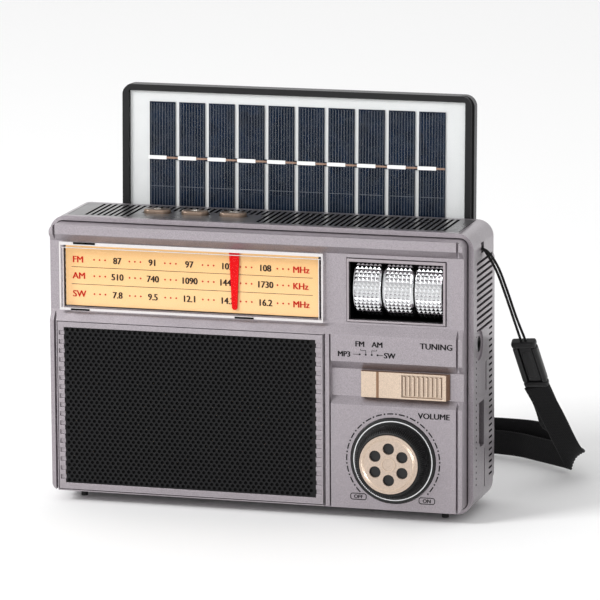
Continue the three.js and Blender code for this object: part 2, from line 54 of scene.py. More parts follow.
# ---------- sizes ----------
DEPTH_MIDDLE = 27.8
HINGE_Y, HINGE_Z = 60, 121.5
LEAN = radians(-1.75)
CELL_X, CELL_PITCH, CELL_WIDE, CELL_LOW, CELL_HIGH = -66.5, 14.4, 12.5, 5.9, 57.9
DRUM_Y, DRUM_Z = 16.5, 105.9
KNOB_X, KNOB_Z = 65.5, 28.1
BUTTON_X, BUTTON_Y, BUTTON_TOP = (-54.1, -35.9, -17.6), 28, 134.23
JACK_Y, JACK_Z, JACK_HOLE = 23.2, 79.3, 1.81
LARGE_FLAT = 2e-4  # square metres


def point(x, y, z):
    return Vector((x / 1000, (y - DEPTH_MIDDLE) / 1000, z / 1000))


def panel_point(x, y, z):
    """A point given about the solar panel's hinge axis, before the panel leans back."""
    return point(
        x, HINGE_Y + y * cos(LEAN) - z * sin(LEAN), HINGE_Z + y * sin(LEAN) + z * cos(LEAN)
    )


def colour(red, green, blue):
    """A screen colour of 0 to 255 as the linear colour that shaders use."""
    out = []
    for value in (red, green, blue):
        v = value / 255
        out.append(v / 12.92 if v <= 0.04045 else ((v + 0.055) / 1.055) ** 2.4)
    return (*out, 1.0)


# ---------- camera, floor and light ----------
def add_camera():
    """A long lens, aimed a little right of and below the radio's middle."""
    turn, rise, roll = radians(16.5), radians(10.79), radians(-0.41)
    aim_right, aim_down = radians(0.5593), radians(0.3512)
    distance_mm, lens_mm, aim_height = 2177.5, 288.06, 112.83
    back = Vector((sin(turn) * cos(rise), -cos(turn) * cos(rise), sin(rise)))
    right = Vector((cos(turn), sin(turn), 0))
    up = back.cross(right)
    x_axis = right * cos(roll) + up * sin(roll)
    y_axis = up * cos(roll) - right * sin(roll)
    middle = x_axis * tan(aim_right) - y_axis * tan(aim_down) - back
    swing = (-back).rotation_difference(middle.normalized())
    basis = swing.to_matrix() @ Matrix((x_axis, y_axis, back)).transposed()
    camera = bpy.data.objects.new("camera", bpy.data.cameras.new("camera"))
    camera.data.lens = lens_mm
    camera.data.sensor_width = 36
    camera.data.clip_end = 20
    place = point(0, 0, aim_height) + back * distance_mm / 1000
    camera.matrix_world = Matrix.Translation(place) @ basis.to_4x4()
    bpy.context.scene.collection.objects.link(camera)
    bpy.context.scene.camera = camera


def add_light(name, place, aim, size, power):
    lamp = bpy.data.lights.new(name, "AREA")
    lamp.shape = "RECTANGLE"
    lamp.size, lamp.size_y = size
    lamp.energy = power
    light = bpy.data.objects.new(name, lamp)
    light.location = place
    light.rotation_euler = (Vector(aim) - Vector(place)).to_track_quat("-Z", "Y").to_euler()
    bpy.context.scene.collection.objects.link(light)


def dimmer(tree, value, near, far):
    """Falls from near at 0.1 to far at 1."""
    fall = tree.nodes.new("ShaderNodeMapRange")
    fall.inputs["From Min"].default_value = 0.1
    fall.inputs["To Min"].default_value = near
    fall.inputs["To Max"].default_value = far
    tree.links.new(value, fall.inputs["Value"])
    return fall.outputs["Result"]


def add_studio():
    """A white room, dimmer on the right and overhead, with a large lamp on the left and one behind."""
    world = bpy.data.worlds.new("studio")
    world.use_nodes = True
    tree = world.node_tree
    tree.nodes["Background"].inputs["Color"].default_value = (1, 1, 1, 1)
    place = tree.nodes.new("ShaderNodeTexCoord")
    split = tree.nodes.new("ShaderNodeSeparateXYZ")
    tree.links.new(place.outputs["Generated"], split.inputs["Vector"])
    right = dimmer(tree, split.outputs["X"], 1.0, 0.62)
    above = dimmer(tree, split.outputs["Z"], 1.0, 0.65)
    both = tree.nodes.new("ShaderNodeMath")
    both.operation = "MULTIPLY"
    tree.links.new(right, both.inputs[0])
    tree.links.new(above, both.inputs[1])
    tree.links.new(both.outputs["Value"], tree.nodes["Background"].inputs["Strength"])
    bpy.context.scene.world = world
    bpy.context.scene.view_settings.view_transform = "Standard"
    add_light("key", (-1.7, -1.5, 1.5), (0, 0, 0.08), (0.9, 0.7), 46)
    add_light("fill", (-0.6, -2.6, 0.6), (0, 0, 0.09), (1.4, 0.8), 6)
    add_light("top", (0, 0.3, 1.8), (0, 0.05, 0.1), (1.6, 1.2), 2.5)
    add_light("backdrop", (-1, 4.5, 2.5), (-1, 4.5, 0), (5, 5), 26)
    half = 6
    corners = [(-half, -half, 0), (half, -half, 0), (half, half, 0), (-half, half, 0)]
    floor = mesh_piece("floor", corners, [(0, 1, 2, 3)], plain("floor_paint", (250, 250, 250), 0.9))
    floor.location.z = -0.0003


# ---------- materials ----------
def shader_of(name):
    material = bpy.data.materials.new(name)
    material.use_nodes = True
    return material, material.node_tree, material.node_tree.nodes["Principled BSDF"]


def noise(tree, size_mm, detail=2.0, stretch=(1, 1, 1)):
    """Noise about size_mm across, in the piece's own coordinates."""
    place = tree.nodes.new("ShaderNodeTexCoord")
    scale = tree.nodes.new("ShaderNodeMapping")
    scale.inputs["Scale"].default_value = [1000 / size_mm * s for s in stretch]
    texture = tree.nodes.new("ShaderNodeTexNoise")
    texture.inputs["Scale"].default_value = 1.0
    texture.inputs["Detail"].default_value = detail
    tree.links.new(place.outputs["Object"], scale.inputs["Vector"])
    tree.links.new(scale.outputs["Vector"], texture.inputs["Vector"])
    return texture.outputs["Fac"]


def spread(tree, value, low, high):
    ramp = tree.nodes.new("ShaderNodeMapRange")
    ramp.inputs["From Min"].default_value = 0.3
    ramp.inputs["From Max"].default_value = 0.7
    ramp.inputs["To Min"].default_value = low
    ramp.inputs["To Max"].default_value = high
    tree.links.new(value, ramp.inputs["Value"])
    return ramp.outputs["Result"]


def blend_colours(tree, factor, first, second):
    mix = tree.nodes.new("ShaderNodeMix")
    mix.data_type = "RGBA"
    mix.inputs["A"].default_value = first
    mix.inputs["B"].default_value = second
    tree.links.new(factor, mix.inputs["Factor"])
    return mix.outputs["Result"]


def add_bump(tree, shader, height, depth_mm):
    bump = tree.nodes.new("ShaderNodeBump")
    bump.inputs["Strength"].default_value = 1.0
    bump.inputs["Distance"].default_value = depth_mm / 1000
    tree.links.new(height, bump.inputs["Height"])
    tree.links.new(bump.outputs["Normal"], shader.inputs["Normal"])


def matte(name, rgb, rough=0.5, metal=0.0, grain_mm=0.5, grain_depth=0.02, vary=0.06, coat=0.0, shine=0.5):
    """A solid finish with fine grain, uneven gloss and slight mottling."""
    material, tree, shader = shader_of(name)
    dark = colour(*[c * (1 - vary) for c in rgb])
    light = colour(*[min(255, c * (1 + vary)) for c in rgb])
    tone = blend_colours(tree, noise(tree, 9, 4), dark, light)
    tree.links.new(tone, shader.inputs["Base Color"])
    grain = noise(tree, grain_mm)
    tree.links.new(spread(tree, grain, max(0.03, rough - 0.07), rough + 0.07), shader.inputs["Roughness"])
    add_bump(tree, shader, grain, grain_depth)
    shader.inputs["Metallic"].default_value = metal
    shader.inputs["Specular IOR Level"].default_value = shine
    shader.inputs["Coat Weight"].default_value = coat
    return material


def plain(name, rgb, rough):
    material, _, shader = shader_of(name)
    shader.inputs["Base Color"].default_value = colour(*rgb)
    shader.inputs["Roughness"].default_value = rough
    return material


def lacquer(name, rgb, metal=0.45, rough=0.36):
    """Metallic lacquer: small flakes that tilt each way under a thin clear coat."""
    material, tree, shader = shader_of(name)
    place = tree.nodes.new("ShaderNodeTexCoord")
    flakes = tree.nodes.new("ShaderNodeTexVoronoi")
    flakes.inputs["Scale"].default_value = 1000 / 0.16
    tree.links.new(place.outputs["Object"], flakes.inputs["Vector"])
    tone = blend_colours(
        tree,
        flakes.outputs["Color"],
        colour(*[c * 0.84 for c in rgb]),
        colour(*[min(255, c * 1.14) for c in rgb]),
    )
    tree.links.new(tone, shader.inputs["Base Color"])
    tree.links.new(spread(tree, noise(tree, 14, 3), rough - 0.04, rough + 0.05), shader.inputs["Roughness"])
    add_bump(tree, shader, flakes.outputs["Distance"], 0.006)
    shader.inputs["Metallic"].default_value = metal
    shader.inputs["Coat Weight"].default_value = 0.25
    shader.inputs["Coat Roughness"].default_value = 0.2
    return material


def brushed(name, rgb, rough, stretch=(0.03, 1, 1)):
    """Bare metal with fine lines along one direction."""
    material, tree, shader = shader_of(name)
    lines = noise(tree, 0.25, 2, stretch)
    tone = blend_colours(tree, lines, colour(*[c * 0.9 for c in rgb]), colour(*rgb))
    tree.links.new(tone, shader.inputs["Base Color"])
    tree.links.new(spread(tree, lines, max(0.02, rough - 0.06), rough + 0.06), shader.inputs["Roughness"])
    add_bump(tree, shader, lines, 0.004)
    shader.inputs["Metallic"].default_value = 1.0
    return material


def woven(name, rgb, pitch_mm):
    """Woven nylon: two crossed waves as bump, with a soft sheen; its colour is painted darker in the weave's
    hollows and lighter on its raised crossings, as painted shade and highlight.
    """
    material, tree, shader = shader_of(name)
    uv = tree.nodes.new("ShaderNodeUVMap")
    uv.uv_map = "weave"
    split = tree.nodes.new("ShaderNodeSeparateXYZ")
    tree.links.new(uv.outputs["UV"], split.inputs["Vector"])
    waves = []
    for axis in ("X", "Y"):
        wave = tree.nodes.new("ShaderNodeMath")
        wave.operation = "MULTIPLY"
        wave.inputs[1].default_value = 2 * pi * 1000 / pitch_mm
        tree.links.new(split.outputs[axis], wave.inputs[0])
        sine = tree.nodes.new("ShaderNodeMath")
        sine.operation = "SINE"
        tree.links.new(wave.outputs["Value"], sine.inputs[0])
        waves.append(sine.outputs["Value"])
    product = tree.nodes.new("ShaderNodeMath")
    product.operation = "MULTIPLY"
    tree.links.new(waves[0], product.inputs[0])
    tree.links.new(waves[1], product.inputs[1])
    lift = tree.nodes.new("ShaderNodeMapRange")
    lift.inputs["From Min"].default_value = -1
    tree.links.new(product.outputs["Value"], lift.inputs["Value"])
    # Painted shade and highlight: darker where the weave is low, lighter where it is raised.
    tone = blend_colours(
        tree, lift.outputs["Result"], colour(*[c * 0.6 for c in rgb]), colour(*[c * 1.5 for c in rgb])
    )
    tree.links.new(tone, shader.inputs["Base Color"])
    tree.links.new(spread(tree, noise(tree, 0.3), 0.6, 0.8), shader.inputs["Roughness"])
    add_bump(tree, shader, lift.outputs["Result"], 0.12)
    shader.inputs["Specular IOR Level"].default_value = 0.15
    shader.inputs["Sheen Weight"].default_value = 0.04
    return material


def clear(name):
    """Thin clear plastic: see-through, with a gloss that grows towards grazing angles."""
    material, tree, shader = shader_of(name)
    gloss = tree.nodes.new("ShaderNodeBsdfGlossy")
    tree.links.new(spread(tree, noise(tree, 6, 3), 0.03, 0.06), gloss.inputs["Roughness"])
    see = tree.nodes.new("ShaderNodeBsdfTransparent")
    see.inputs["Color"].default_value = (1, 1, 1, 1)
    fresnel = tree.nodes.new("ShaderNodeFresnel")
    fresnel.inputs["IOR"].default_value = 1.45
    weaker = tree.nodes.new("ShaderNodeMath")
    weaker.operation = "MULTIPLY"
    weaker.inputs[1].default_value = 0.07
    tree.links.new(fresnel.outputs["Fac"], weaker.inputs[0])
    mix = tree.nodes.new("ShaderNodeMixShader")
    tree.links.new(weaker.outputs["Value"], mix.inputs["Fac"])
    tree.links.new(see.outputs["BSDF"], mix.inputs[1])
    tree.links.new(gloss.outputs["BSDF"], mix.inputs[2])
    tree.links.new(mix.outputs["Shader"], tree.nodes["Material Output"].inputs["Surface"])
    tree.nodes.remove(shader)
    return material


def amber_print(name):
    """Warm dial plastic, deeper in tone towards its upper edge."""
    material, tree, shader = shader_of(name)
    place = tree.nodes.new("ShaderNodeTexCoord")
    split = tree.nodes.new("ShaderNodeSeparateXYZ")
    tree.links.new(place.outputs["Object"], split.inputs["Vector"])
    ramp = tree.nodes.new("ShaderNodeMapRange")
    ramp.inputs["From Min"].default_value = 0.093
    ramp.inputs["From Max"].default_value = 0.118
    tree.links.new(split.outputs["Z"], ramp.inputs["Value"])
    tone = blend_colours(tree, ramp.outputs["Result"], colour(242, 198, 142), colour(232, 184, 122))
    tree.links.new(tone, shader.inputs["Base Color"])
    grain = noise(tree, 0.4)
    tree.links.new(spread(tree, grain, 0.38, 0.5), shader.inputs["Roughness"])
    add_bump(tree, shader, grain, 0.004)
    return material


def silicon(name):
    """Polycrystalline cell: angular grains of slightly different blue under a smooth coat."""
    material, tree, shader = shader_of(name)
    place = tree.nodes.new("ShaderNodeTexCoord")
    grains = tree.nodes.new("ShaderNodeTexVoronoi")
    grains.inputs["Scale"].default_value = 1000 / 5.5
    tree.links.new(place.outputs["Object"], grains.inputs["Vector"])
    tone = blend_colours(tree, grains.outputs["Color"], colour(4, 15, 30), colour(10, 27, 48))
    tree.links.new(tone, shader.inputs["Base Color"])
    tree.links.new(spread(tree, grains.outputs["Distance"], 0.22, 0.3), shader.inputs["Roughness"])
    shader.inputs["Metallic"].default_value = 0.0
    shader.inputs["Specular IOR Level"].default_value = 0.12
    shader.inputs["Coat Weight"].default_value = 0.0
    return material


# ---------- mesh tools ----------
def link(piece):
    bpy.context.scene.collection.objects.link(piece)
    return piece


def mesh_piece(name, points, faces, *materials):
    mesh = bpy.data.meshes.new(name)
    mesh.from_pydata([tuple(p) for p in points], [], faces)
    mesh.validate()
    for material in materials:
        mesh.materials.append(material)
    return link(bpy.data.objects.new(name, mesh))


def settle(piece, body, slot, *nodes):
    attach(piece, body)
    if nodes:
        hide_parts(*nodes)
    return piece


def soften(piece, width_mm, segments=2, angle=32):
    """Rounds the sharp edges and keeps the large flats flat."""
    for face in piece.data.polygons:
        face.use_smooth = face.area < LARGE_FLAT
    bevel = piece.modifiers.new("bevel", "BEVEL")
    bevel.width = width_mm / 1000
    bevel.segments = segments
    bevel.limit_method = "ANGLE"
    bevel.angle_limit = radians(angle)
    bevel.harden_normals = True
    weighted = piece.modifiers.new("flats", "WEIGHTED_NORMAL")
    weighted.keep_sharp = True


def rounded(node, material, slot, width_mm=0.3, segments=2, cutters=None, inside=None):
    """A copy of a CAD piece with its edges rounded, shown in its place."""
    mesh = frame["nodes"][node].data.copy()
    work = bmesh.new()
    work.from_mesh(mesh)
    bmesh.ops.remove_doubles(work, verts=work.verts, dist=2e-6)
    bmesh.ops.dissolve_limit(work, angle_limit=radians(0.6), verts=work.verts, edges=work.edges)
    work.to_mesh(mesh)
    work.free()
    mesh.materials.clear()
    mesh.materials.append(material)
    piece = link(bpy.data.objects.new(node + "_finish", mesh))
    if cutters:
        carve(piece, cutters, inside)
    soften(piece, width_mm, segments)
    return settle(piece, NODE_BODY[node], slot, node)


def shade_faces(piece, material, chosen):
    """Gives the chosen faces a second material."""
    piece.data.materials.append(material)
    for face in piece.data.polygons:
        if chosen(face):
            face.material_index = 1


def carve(piece, cutters, inside):
    """Cuts closed shapes, given as (points, faces), out of a piece; the cut walls take inside."""
    tool = mesh_piece("cutter", *gather(cutters), inside)
    cut = piece.modifiers.new("cut", "BOOLEAN")
    cut.object = tool
    cut.operation = "DIFFERENCE"
    cut.solver = "EXACT"
    cut.material_mode = "TRANSFER"
    bpy.context.view_layer.update()
    made = bpy.data.meshes.new_from_object(piece.evaluated_get(bpy.context.evaluated_depsgraph_get()))
    piece.modifiers.remove(cut)
    piece.data = made
    bpy.data.objects.remove(tool)


def box_shape(x0, x1, y0, y1, z0, z1, place=point):
    points = [place(x, y, z) for z in (z0, z1) for y in (y0, y1) for x in (x0, x1)]
    faces = [(0, 2, 3, 1), (4, 5, 7, 6), (0, 1, 5, 4), (2, 6, 7, 3), (0, 4, 6, 2), (1, 3, 7, 5)]
    return points, faces


def disc_shape(centre, radius, axis, depth, sides=16):
    """A short round bar from centre along axis ('x', 'y' or 'z'), depth long."""
    points, faces = [], []
    for end in (0, depth):
        for i in range(sides):
            a, b = radius * cos(2 * pi * i / sides), radius * sin(2 * pi * i / sides)
            step = {"x": (end, a, b), "y": (a, end, b), "z": (a, b, end)}[axis]
            points.append(point(*[c + s for c, s in zip(centre, step)]))
    for i in range(sides):
        k = (i + 1) % sides
        faces.append((i, k, sides + k, sides + i))
    faces += [tuple(range(sides))[::-1], tuple(range(sides, 2 * sides))]
    return points, faces


def gather(shapes):
    points, faces = [], []
    for more_points, more_faces in shapes:
        start = len(points)
        points += more_points
        faces += [[start + i for i in face] for face in more_faces]
    return points, faces


def outward(piece):
    """Turns every face outward."""
    work = bmesh.new()
    work.from_mesh(piece.data)
    bmesh.ops.recalc_face_normals(work, faces=work.faces)
    work.to_mesh(piece.data)
    work.free()
    return piece


def turned(profile, centre, sides, wobble=None):
    """A closed profile of (radius, y) turned about the y axis; wobble(step, row) adds to the radius."""
    points, faces = [], []
    rows = len(profile)
    for i in range(sides):
        angle = 2 * pi * i / sides
        for row, (radius, y) in enumerate(profile):
            r = radius + (wobble(i, row) if wobble else 0)
            points.append(point(centre[0] + r * sin(angle), y, centre[1] + r * cos(angle)))
    for i in range(sides):
        k = (i + 1) % sides
        for row in range(rows):
            j = (row + 1) % rows
            faces.append((i * rows + row, i * rows + j, k * rows + j, k * rows + row))
    return points, faces


def ring_shape(x, z, outer, inner, y0, y1, sides=48, start=0.0, sweep=2 * pi):
    """A flat ring, or part of one, facing the front."""
    points, faces = [], []
    whole = sweep >= 2 * pi - 1e-6
    count = sides if whole else sides + 1
    for i in range(count):
        angle = start + sweep * i / sides
        for radius, y in ((outer, y0), (outer, y1), (inner, y1), (inner, y0)):
            points.append(point(x + radius * sin(angle), y, z + radius * cos(angle)))
    for i in range(sides):
        k = (i + 1) % count
        for row in range(4):
            j = (row + 1) % 4
            faces.append((4 * i + row, 4 * i + j, 4 * k + j, 4 * k + row))
    if not whole:
        faces += [(0, 3, 2, 1), (4 * sides, 4 * sides + 1, 4 * sides + 2, 4 * sides + 3)]
    return points, faces


# ---------- printed marks ----------
def words(body, x, z, height, y, anchor, stretch):
    """Flat lettering facing the front, its cap height given; x is its left end or its middle."""
    curve = bpy.data.curves.new("words", "FONT")
    curve.body = body
    curve.size = height / 0.7 / 1000
    curve.align_x = anchor
    curve.resolution_u = 3
    text = link(bpy.data.objects.new("words", curve))
    bpy.context.view_layer.update()
    mesh = bpy.data.meshes.new_from_object(text)
    place = [point(x + v.co.x * 1000 * stretch, y, z + v.co.y * 1000) for v in mesh.vertices]
    faces = [tuple(f.vertices) for f in mesh.polygons]
    bpy.data.objects.remove(text)
    bpy.data.meshes.remove(mesh)
    return place, faces


def bold_words(body, x, z, height, y=-0.03, anchor="LEFT", stretch=1.0, weight=0.3):
    """Heavier lettering: the same word printed three times, each a hair apart in place and depth."""
    return [
        words(body, x + weight * (i / 2 - 0.5), z, height, y - 0.04 * i, anchor, stretch)
        for i in range(3)
    ]


def flat_bar(x0, x1, z0, z1, y=-0.03):
    points = [point(x0, y, z0), point(x1, y, z0), point(x1, y, z1), point(x0, y, z1)]
    return points, [(0, 1, 2, 3)]


def flat_dot(x, z, r, y=-0.03, sides=12):
    angles = [2 * pi * i / sides for i in range(sides)]
    return [point(x + r * cos(a), y, z + r * sin(a)) for a in angles], [tuple(range(sides))]


def flat_rim(x0, x1, z0, z1, r, line, y=-0.03, corner=6):
    """A rounded outline, line wide."""
    points, faces = [], []
    centres = ((x1 - r, z1 - r), (x0 + r, z1 - r), (x0 + r, z0 + r), (x1 - r, z0 + r))
    for inset in (0, line):
        rr = r - inset
        for quarter, (cx, cz) in enumerate(centres):
            for i in range(corner + 1):
                a = pi / 2 * (quarter + i / corner)
                points.append(point(cx + rr * cos(a), y, cz + rr * sin(a)))
    n = 4 * (corner + 1)
    for i in range(n):
        k = (i + 1) % n
        faces.append((i, k, n + k, n + i))
    return points, faces


def printed(name, shapes, material, body, slot):
    """Marks made into a skin 0.03 mm thick, so that each is a closed body."""
    piece = mesh_piece(name, *gather(shapes), material)
    thick = piece.modifiers.new("ink", "SOLIDIFY")
    thick.thickness = 0.00003
    thick.offset = 0
    return settle(piece, body, slot)


# ---------- pieces ----------
LILAC = lacquer("lilac_lacquer", (154, 147, 152), 0.78, 0.34)
CHAMPAGNE = lacquer("champagne_lacquer", (200, 180, 161), 0.6, 0.32)
DISC = lacquer("disc_lacquer", (184, 166, 151), 0.4, 0.46)
# A darker brown copy of the champagne lacquer: painted shade for the band slider's edges.
SLIDER_EDGE_SHADE = lacquer("slider_edge_painted_shade", (136, 104, 80), 0.55, 0.34)
COPPER = lacquer("copper_lacquer", (126, 108, 94), 0.7, 0.3)
TOP_GREY = lacquer("grey_lacquer", (98, 96, 98), 0.5, 0.3)
CHARCOAL = matte("charcoal_plastic", (28, 28, 29), 0.5, grain_mm=0.35, grain_depth=0.05, vary=0.12, shine=0.2)
SHELL_GREY = matte("panel_back_plastic", (72, 72, 74), 0.5, grain_mm=0.35, grain_depth=0.05, vary=0.1)
BLACK = matte("black_plastic", (20, 20, 21), 0.42, grain_mm=0.4, grain_depth=0.02, vary=0.15, shine=0.4)
# Near-black, used for black parts and as painted shade in slots, holes, notches and behind grilles.
BLACK_AND_SHADE = matte("black_and_painted_shade", (8, 8, 9), 0.7, vary=0.2, shine=0.1)
MESH_BLACK = matte("mesh_paint", (26, 26, 27), 0.5, grain_mm=0.25, grain_depth=0.01, vary=0.1, shine=0.12)
CHROME = brushed("chrome", (235, 236, 238), 0.1, (0.2, 1, 1))
STEEL = brushed("brushed_steel", (176, 177, 180), 0.32)
PALE_STEEL = brushed("bezel_metal", (168, 160, 164), 0.36)
RED = matte("pointer_red", (214, 2, 8), 0.5, grain_depth=0.004, vary=0.04, shine=0.12)
AMBER = amber_print("dial_amber")
DARK_INK = matte("dark_ink", (38, 30, 28), 0.6, grain_depth=0.002, shine=0.1)
RED_INK = matte("red_ink", (188, 36, 22), 0.6, grain_depth=0.002, shine=0.1)
BLACK_INK = matte("black_ink", (20, 18, 20), 0.6, grain_depth=0.002, shine=0.1)
WHITE_INK = matte("white_ink", (244, 238, 230), 0.5, grain_depth=0.002)
CELL = silicon("cell_silicon")
FINGER = matte("cell_finger", (112, 118, 126), 0.5, grain_depth=0.002)
SOLDER = matte("solder", (250, 250, 250), 0.4, metal=0.2, grain_mm=0.8, grain_depth=0.02)
RIBBON = matte("ribbon_copper", (150, 122, 104), 0.4, metal=0.5, grain_depth=0.01)
PANEL_WHITE = matte("panel_white", (216, 218, 218), 0.5, grain_depth=0.006, vary=0.02)
CLEAR = clear("clear_plastic")
# Pale paint for the clear dial cover's rims: painted highlight on its edges.
COVER_RIM_HIGHLIGHT = matte("cover_rim_highlight_paint", (206, 202, 202), 0.25, grain_depth=0.004, vary=0.03)
GREEN = matte("board_green", (44, 100, 66), 0.45, grain_depth=0.01)
FERRITE = matte("ferrite", (58, 54, 52), 0.75, grain_mm=0.3, grain_depth=0.05)
WINDING = brushed("copper_wire", (190, 112, 60), 0.3, (1, 0.05, 0.05))
PAPER = matte("cone_paper", (40, 38, 42), 0.9, grain_mm=0.7, grain_depth=0.1)
WRAP = matte("battery_wrap", (58, 100, 166), 0.3, coat=0.5)
WHITE_PLASTIC = matte("white_plastic", (232, 232, 230), 0.45)
RUBBER = matte("foot_rubber", (30, 30, 31), 0.85, grain_mm=0.3, grain_depth=0.05)
CORD = woven("cord_braid", (16, 16, 17), 0.9)
WEB = woven("strap_weave", (20, 20, 21), 1.1)

# The cord goes from the clip up, round its post and down to the clip again.
CORD_ROUTE = (
    (110.5, 60, 74.5), (109, 53, 85), (107, 43, 99.5), (105, 34.5, 111.5), (102, 29.8, 119.5),
    (100.3, 28.2, 122.5), (98.5, 28, 123.4), (97.95, 26.7, 123.4), (98.5, 25.4, 123.4),
    (100.3, 25.2, 123.2), (102.8, 26.8, 121.5), (105.8, 34, 113.5), (108, 43, 101), (110, 52.5, 87),
    (112.5, 60, 75),
)
CLIP_TOP, CLIP_LOW, CLIP_ACROSS = (111.5, 60.5, 74), (114.5, 77, 50), (12, -2, 3)
# The webbing's centre, then the direction across its width.
WEBBING = (
    (114.5, 76.5, 48.5, 0.95, -0.15, 0.3), (117.5, 84.5, 38.5, 0.95, -0.15, 0.3),
    (120.5, 92, 28, 0.95, -0.15, 0.3), (123, 98.5, 18, 0.9, -0.25, 0.4), (125, 104, 11, 0.9, -0.25, 0.4),
    (126, 108, 8.5, 0.8, -0.3, 0.55), (126, 112, 7.5, 0.5, 0.15, 0.85), (123.5, 116, 6.8, 0.15, -0.1, 1),
    (119.5, 119, 6.8, 0, 0, 1), (114, 122.5, 6.8, 0, 0, 1), (104, 129.5, 6.8, 0, 0, 1),
    (92, 137, 6.8, 0, 0, 1), (79, 139.5, 7, 0, 0, 1), (60, 139.5, 7, 0, 0, 1), (50, 140.5, 8, 0, 0, 1),
    (46, 144, 9, 0, 0, 1), (50, 147.5, 10, 0, 0, 1), (60, 146.5, 11, 0, 0, 1), (79, 144.5, 12, 0, 0, 1),
    (96, 141, 12.5, 0, 0, 1), (106, 136, 13, 0, 0, 1), (111.5, 131.5, 16, 0, 0, 1),
    (113, 124, 22, 0.15, -0.1, 1), (113.5, 114, 25, 0.45, -0.2, 0.9), (115, 104, 28, 0.8, -0.3, 0.55),
    (116, 97, 31, 0.95, -0.15, 0.3), (115.5, 89, 39, 0.95, -0.15, 0.3), (114, 79, 49.5, 0.95, -0.15, 0.3),
)
WEB_WIDE, WEB_THICK, CORD_R = 12.0, 1.3, 0.6
ROUTE_STEPS = 6
# The drawn ends run on this far, at the first and last point, to meet the clip.
CORD_REACH, WEB_REACH = (1.2, 1.4), (1.1, 1.5)
# The stretch of the webbing's steps round its fold, and how often they are evened out.
FOLD, FOLD_PASSES = slice(2 * ROUTE_STEPS, 11 * ROUTE_STEPS), 80


def smooth_through(points, steps):
    """Centripetal Catmull-Rom steps through rows whose first three numbers are a place."""
    def gap(a, b):
        return sum((p - q) ** 2 for p, q in zip(a[:3], b[:3])) ** 0.25

    def between(a, b, ta, tb, t):
        return [(p * (tb - t) + q * (t - ta)) / (tb - ta) for p, q in zip(a, b)]

    first = [2 * a - b for a, b in zip(points[0], points[1])]
    last = [2 * a - b for a, b in zip(points[-1], points[-2])]
    rows = [first, *points, last]
    out = []
    for a, b, c, d in zip(rows, rows[1:], rows[2:], rows[3:]):
        ta, tb = 0.0, gap(a, b)
        tc = tb + gap(b, c)
        td = tc + gap(c, d)
        for k in range(steps):
            t = tb + (tc - tb) * k / steps
            ab, bc, cd = between(a, b, ta, tb, t), between(b, c, tb, tc, t), between(c, d, tc, td, t)
            out.append(between(between(ab, bc, ta, tc, t), between(bc, cd, tb, td, t), tb, tc, t))
    out.append(list(points[-1]))
    return out


def relaxed(rows, passes):
    """Evens out the rows between the first and the last."""
    for _ in range(passes):
        inner = [[(a + 2 * b + c) / 4 for a, b, c in zip(*three)] for three in zip(rows, rows[1:], rows[2:])]
        rows = [rows[0], *inner, rows[-1]]
    return rows


def beyond(end, inner, reach):
    """A row carried on past the end, away from the inner row, by reach mm."""
    step = Vector(end[:3]) - Vector(inner[:3])
    return [*(Vector(end[:3]) + step.normalized() * reach), *end[3:]]


def carried(rows, reach):
    """The rows with both ends carried on."""
    return [beyond(rows[0], rows[1], reach[0]), *rows, beyond(rows[-1], rows[-2], reach[1])]


def weave_coordinates(piece, marks):
    """Lays each vertex's place in the weave on the faces, and smooths them."""
    layer = piece.data.uv_layers.new(name="weave")
    for loop in piece.data.loops:
        layer.data[loop.index].uv = marks[loop.vertex_index]
    for face in piece.data.polygons:
        face.use_smooth = True


def tube(name, centres, radius, sides, material):
    """A round tube along the centres, with weave coordinates along and around it."""
    points, faces, marks = [], [], []
    side = Vector((0, 0, 1))
    run = 0.0
    for i, centre in enumerate(centres):
        ahead = (centres[min(i + 1, len(centres) - 1)] - centres[max(i - 1, 0)]).normalized()
        side = (side - ahead * side.dot(ahead)).normalized()
        other = ahead.cross(side)
        if i:
            run += (centre - centres[i - 1]).length
        for k in range(sides):
            a = 2 * pi * k / sides
            points.append(centre + (side * cos(a) + other * sin(a)) * radius)
            marks.append((run, k * 2 * pi * radius / sides))
    for i in range(len(centres) - 1):
        for k in range(sides):
            n = (k + 1) % sides
            faces.append((i * sides + k, i * sides + n, (i + 1) * sides + n, (i + 1) * sides + k))
    faces += [tuple(range(sides))[::-1], tuple(range(len(points) - sides, len(points)))]
    piece = mesh_piece(name, points, faces, material)
    weave_coordinates(piece, marks)
    return outward(piece)


def make_strap():
    route = [point(*place) for place in carried(smooth_through(CORD_ROUTE, ROUTE_STEPS), CORD_REACH)]
    cord = settle(tube("wrist_cord", route, CORD_R / 1000, 12, CORD), "radio", "cloth", "strap_cord")
    clip = make_clip()
    rows = smooth_through(WEBBING, ROUTE_STEPS)
    rows[FOLD] = relaxed(rows[FOLD], FOLD_PASSES)
    rows = carried(rows, WEB_REACH)
    centres = [point(*row[:3]) for row in rows]
    web = make_webbing(centres, rows)


